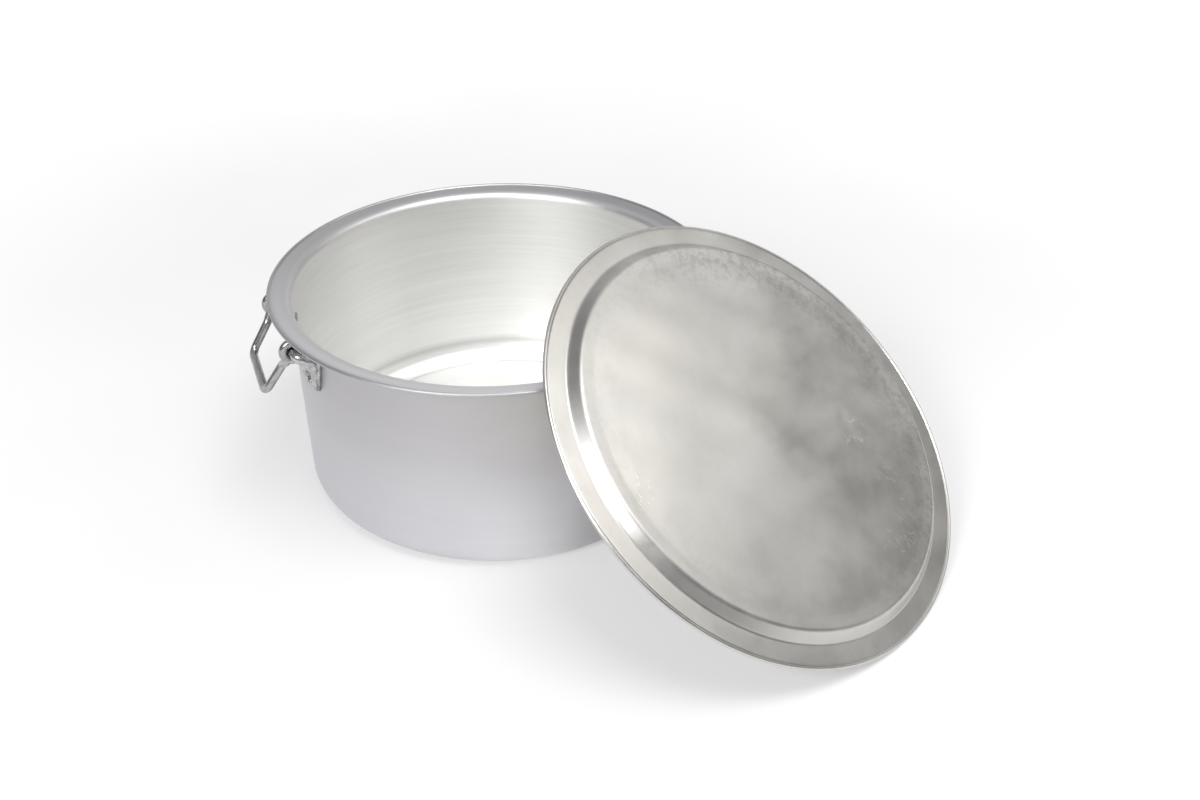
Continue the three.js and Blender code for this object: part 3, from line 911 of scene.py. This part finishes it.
def fused(points, faces, voxel, rounds):
    """One skin over solids that run into each other, with its creases softened, as a casting has."""
    mesh = bpy.data.meshes.new("casting")
    mesh.from_pydata((points * MM).tolist(), [], faces)
    piece = bpy.data.objects.new("casting", mesh)
    bpy.context.scene.collection.objects.link(piece)
    remesh = piece.modifiers.new("fuse", "REMESH")
    remesh.mode = "VOXEL"
    remesh.voxel_size = voxel * MM
    soften = piece.modifiers.new("soften", "SMOOTH")
    soften.factor = 0.5
    soften.iterations = rounds
    made = piece.evaluated_get(bpy.context.evaluated_depsgraph_get()).to_mesh()
    points = np.array([vertex.co for vertex in made.vertices], float) / MM
    faces = [tuple(polygon.vertices) for polygon in made.polygons]
    bpy.data.objects.remove(piece)
    bpy.data.meshes.remove(mesh)
    return points, faces


def lug_casting():
    """The lug on the +Y side of the right handle."""
    solids = [plate_solid(), arm_solid(), rib_solid(*OUTER_RIB), rib_solid(*INNER_RIB)]
    points, faces = fused(*joined(solids), CAST_VOXEL, CAST_SOFTENING)
    lumps = np.array([noise.noise(Vector(point) / LUMP_SIZE) for point in points])
    outward = points - points.mean(axis=0)
    outward /= np.linalg.norm(outward, axis=1)[:, None]
    points = points + outward * lumps[:, None] * LUMP_HEIGHT
    radius = np.hypot(points[:, 0], points[:, 1])
    clear = np.maximum(radius, wall_radius(points[:, 2]) + OFF_WALL)
    points[:, :2] *= (clear / radius)[:, None]
    return points, faces


def lug_crease_shade(points):
    """Painted shade where the plate meets the wall and in the valley between the ribs."""
    off_wall = np.hypot(points[:, 0], points[:, 1]) - wall_radius(points[:, 2])
    across = np.abs(points[:, 1]) - PLATE_Y
    valley = bell(across, 3.2, 4.4) * ease(points[:, 2], 137, 145) * (1 - ease(off_wall, 3.0, 4.6))
    seam = 0.9 * (1 - ease(off_wall, 0.4, 1.8))
    return np.clip(seam + valley, 0, 1)


def make_lugs():
    """Four castings from one, each with its washer and its two rivets."""
    points, faces = lug_casting()
    # Painted shade for the creases of each casting
    crease_shade = lug_crease_shade(points)
    for name, front_side in (("right", -1), ("left", 1)):
        for side in (-1, 1):
            end = "front" if side == front_side else "rear"
            placed = to_side(points * (1, side, 1), name)
            wound = faces if side == 1 else [face[::-1] for face in faces]
            lug = new_object(f"{name}_{end}_casting", placed, wound, METALS["lug_metal"], "pot",
                             [f"{name}_{end}_lug"])
            give(lug, "panel", points * MM)
            give(lug, "crease_shade", crease_shade)
            make_washer(name, end, side)
            for level, height in RIVET_HEIGHTS.items():
                make_rivet(name, end, side, level, height)


def make_washer(name, end, side):
    """A thin turned ring on the arm, between its upset end and the eye."""
    edge = 0.3
    sides = 40
    outline = rounded([
        (WASHER_INNER_R, 0, edge),
        (WASHER_OUTER_R, 0, edge),
        (WASHER_OUTER_R, WASHER_THICK, edge),
        (WASHER_INNER_R, WASHER_THICK, edge),
    ], 4)
    ring = []
    for j in range(sides):
        angle = 2 * math.pi * j / sides
        ring += [(r * math.cos(angle), y + ARM_START + GAP, r * math.sin(angle)) for r, y in outline]
    count = len(outline)
    faces = []
    for j in range(sides):
        for i in range(count):
            a, b = j * count + i, ((j + 1) % sides) * count + i
            c, d = ((j + 1) % sides) * count + (i + 1) % count, j * count + (i + 1) % count
            faces.append((a, b, c, d)[::side])
    points = (np.array(ring) + (HINGE_X, 0, HINGE_Z)) * (1, side, 1)
    washer = new_object(f"{name}_{end}_thin_ring", to_side(points, name), faces, METALS["rivet_metal"], "pot",
                        [f"{name}_{end}_washer"])
    give(washer, "panel", points * MM)


def make_rivet(name, end, side, level, height):
    """A rivet through the wall and the plate, with a low head inside and a hammered one outside."""
    grip = WALL + PLATE + 3 * GAP
    outline = filled(rounded([
        (0, -1.2),
        (3.4, -1.1, 2),
        (4.8, -0.1, 0.6),
        (4.6, 0.1, 0.2),
        (RIVET_R, 0.1),
        (RIVET_R, grip - 0.4),
        (4.3, grip - 0.5, 0.3),
        (3.9, grip + 1.0, 1),
        (2.0, grip + 2.0, 1.2),
        (0, grip + 2.1),
    ], 5), 0.6)
    points, faces, _, _ = turn(outline, 36)
    blows = np.array([noise.noise(Vector(point + (height, side * 9, 0)) / BLOW_SIZE) for point in points])
    points = points * (1 + BLOW_DEPTH * blows[:, None] * (points[:, 2:3] > grip - 1))
    inside = wall_radius(height) - WALL - 0.2
    azimuth = side * LUG_AZIMUTH + (0 if name == "right" else math.pi)
    outward = Matrix.Rotation(azimuth, 3, "Z") @ Matrix.Rotation(math.pi / 2, 3, "Y")
    centre = np.array([math.cos(azimuth), math.sin(azimuth), 0]) * inside + (0, 0, height)
    placed = points @ np.array(outward).T + centre
    rivet = new_object(f"{name}_{end}_{level}_peened", placed, faces, METALS["rivet_metal"], "pot",
                       [f"{name}_{end}_{level}_rivet"])
    give(rivet, "panel", placed * MM)


# ------------------------------------------------------------------ studio

# Places and sizes in the studio are in metres.
CAMERA_PLACE = (-0.2848, -0.9961, 0.7247)
CAMERA_LOOK = (0.3021, 0.7828, -0.5441)
CAMERA_LENS = 39
FLOOR_REACH = 7.0
FLOOR_SIDES = 96

# Area lamps: a place, what each is aimed at, its width and height, its power and its colour.
LAMPS = {
    "overhead": ((0.3, -0.85, 2.3), (0, 0, 0.1), (1.3, 1.0), 30, (1, 1, 1)),
    "key": ((-1.52, -1.25, 1.55), (0, 0, 0.1), (0.8, 0.65), 31, (1, 1, 1)),
    "right_soft": ((1.78, -0.43, 1.83), (0.15, -0.2, 0.12), (1.05, 0.8), 5.2, (1, 0.985, 0.95)),
}

# The room's light: colours at shares of the way up, from left to right, and from front to back.
ROOM_UP = [(0, (0.22, 0.22, 0.23)), (0.35, (0.34, 0.34, 0.35)), (0.7, (0.6, 0.6, 0.61)), (1, (0.7, 0.7, 0.7))]
ROOM_ACROSS = [(0, (0.42, 0.42, 0.44)), (0.4, (0.9, 0.9, 0.92)), (1, (1.0, 0.985, 0.95))]
ROOM_BACK = [(0, (0.3, 0.3, 0.31)), (0.45, (0.85, 0.85, 0.85)), (1, (0.8, 0.8, 0.8))]

# The pale backdrop: low down, and only behind the pot.
DROP_UP = [(0, (0.5, 0.5, 0.51)), (0.36, (0.5, 0.5, 0.51)), (0.58, (0.06, 0.06, 0.06)), (1, (0, 0, 0))]
DROP_BACK = [(0, (0, 0, 0)), (0.72, (0, 0, 0)), (0.9, (0.9, 0.9, 0.9)), (1, (1, 1, 1))]


def make_camera():
    camera = bpy.data.objects.new("camera", bpy.data.cameras.new("camera"))
    camera.data.lens = CAMERA_LENS
    camera.data.sensor_width = 36
    camera.data.clip_start = 0.05
    camera.location = CAMERA_PLACE
    camera.rotation_euler = Vector(CAMERA_LOOK).to_track_quat("-Z", "Y").to_euler()
    bpy.context.scene.collection.objects.link(camera)
    bpy.context.scene.camera = camera


def make_floor():
    """A pale round sweep, large enough to fill the view, that glows more strongly away from the pot."""
    angles = np.arange(FLOOR_SIDES) * 2 * math.pi / FLOOR_SIDES
    ring = [(FLOOR_REACH * math.cos(a), FLOOR_REACH * math.sin(a), 0) for a in angles]
    wedges = [(0, 1 + j, 1 + (j + 1) % FLOOR_SIDES) for j in range(FLOOR_SIDES)]
    mesh = bpy.data.meshes.new("floor")
    mesh.from_pydata([(0, 0, 0), *ring], [], wedges)
    r = Recipe("pale_floor")
    place = r.add("ShaderNodeTexCoord", {}, "Object")
    tone = r.spread(r.rough_noise(place, (1.5, 1.5, 1.5), 3), 0.3, 0.7)
    r.put(r.shader.inputs["Base Color"], r.blend(tone, (0.48, 0.48, 0.485), (0.52, 0.52, 0.52)))
    reach = r.add("ShaderNodeVectorMath", {0: place}, 1, operation="LENGTH")
    r.put(r.shader.inputs["Emission Color"], (1.0, 1.0, 1.0))
    r.put(r.shader.inputs["Emission Strength"], r.spread(reach, 0.3, 1.8, 0.4, 0.8))
    r.put(r.shader.inputs["Roughness"], 0.8)
    r.put(r.shader.inputs["Specular IOR Level"], 0.1)
    mesh.materials.append(r.material)
    floor = bpy.data.objects.new("floor", mesh)
    bpy.context.scene.collection.objects.link(floor)


def make_lamp(name, place, aim, size, power, colour):
    lamp = bpy.data.objects.new(name, bpy.data.lights.new(name, "AREA"))
    lamp.data.shape = "RECTANGLE"
    lamp.data.size, lamp.data.size_y = size
    lamp.data.energy = power
    lamp.data.color = colour
    lamp.location = place
    lamp.rotation_euler = (Vector(aim) - Vector(place)).to_track_quat("-Z", "Y").to_euler()
    bpy.context.scene.collection.objects.link(lamp)


def make_room():
    """Soft light from all round: brighter overhead, darker on the left and behind the camera."""
    world = bpy.data.worlds.new("studio")
    bpy.context.scene.world = world
    world.use_nodes = True
    n = Nodes(world.node_tree)

    def ramp(source, stops):
        made = n.tree.nodes.new("ShaderNodeValToRGB")
        made.color_ramp.interpolation = "EASE"
        for element, (at, colour) in zip(made.color_ramp.elements, (stops[0], stops[-1])):
            element.position, element.color = at, (*colour, 1)
        for at, colour in stops[1:-1]:
            made.color_ramp.elements.new(at).color = (*colour, 1)
        n.put(made.inputs[0], source)
        return made.outputs[0]

    def share(source):
        """A direction's part from -1 to 1, as a share from 0 to 1."""
        return n.add("ShaderNodeMath", {0: source, 1: 0.5, 2: 0.5}, operation="MULTIPLY_ADD")

    direction = n.add("ShaderNodeTexCoord", {}, "Generated")
    across, back, up = (n.add("ShaderNodeSeparateXYZ", {0: direction}, axis) for axis in range(3))
    room = n.blend(1.0, ramp(up, ROOM_UP), ramp(share(across), ROOM_ACROSS), "MULTIPLY")
    room = n.blend(1.0, room, ramp(share(back), ROOM_BACK), "MULTIPLY")
    drop = n.blend(1.0, ramp(up, DROP_UP), ramp(share(back), DROP_BACK), "MULTIPLY")
    n.put(n.tree.nodes["Background"].inputs["Color"], n.blend(1.0, room, drop, "ADD"))


make_pot()
make_cover()
make_bail("right")
make_bail("left")
make_lugs()
make_camera()
make_floor()
make_room()
for lamp_name, lamp in LAMPS.items():
    make_lamp(lamp_name, *lamp)
bpy.context.scene.view_settings.view_transform = "Standard"
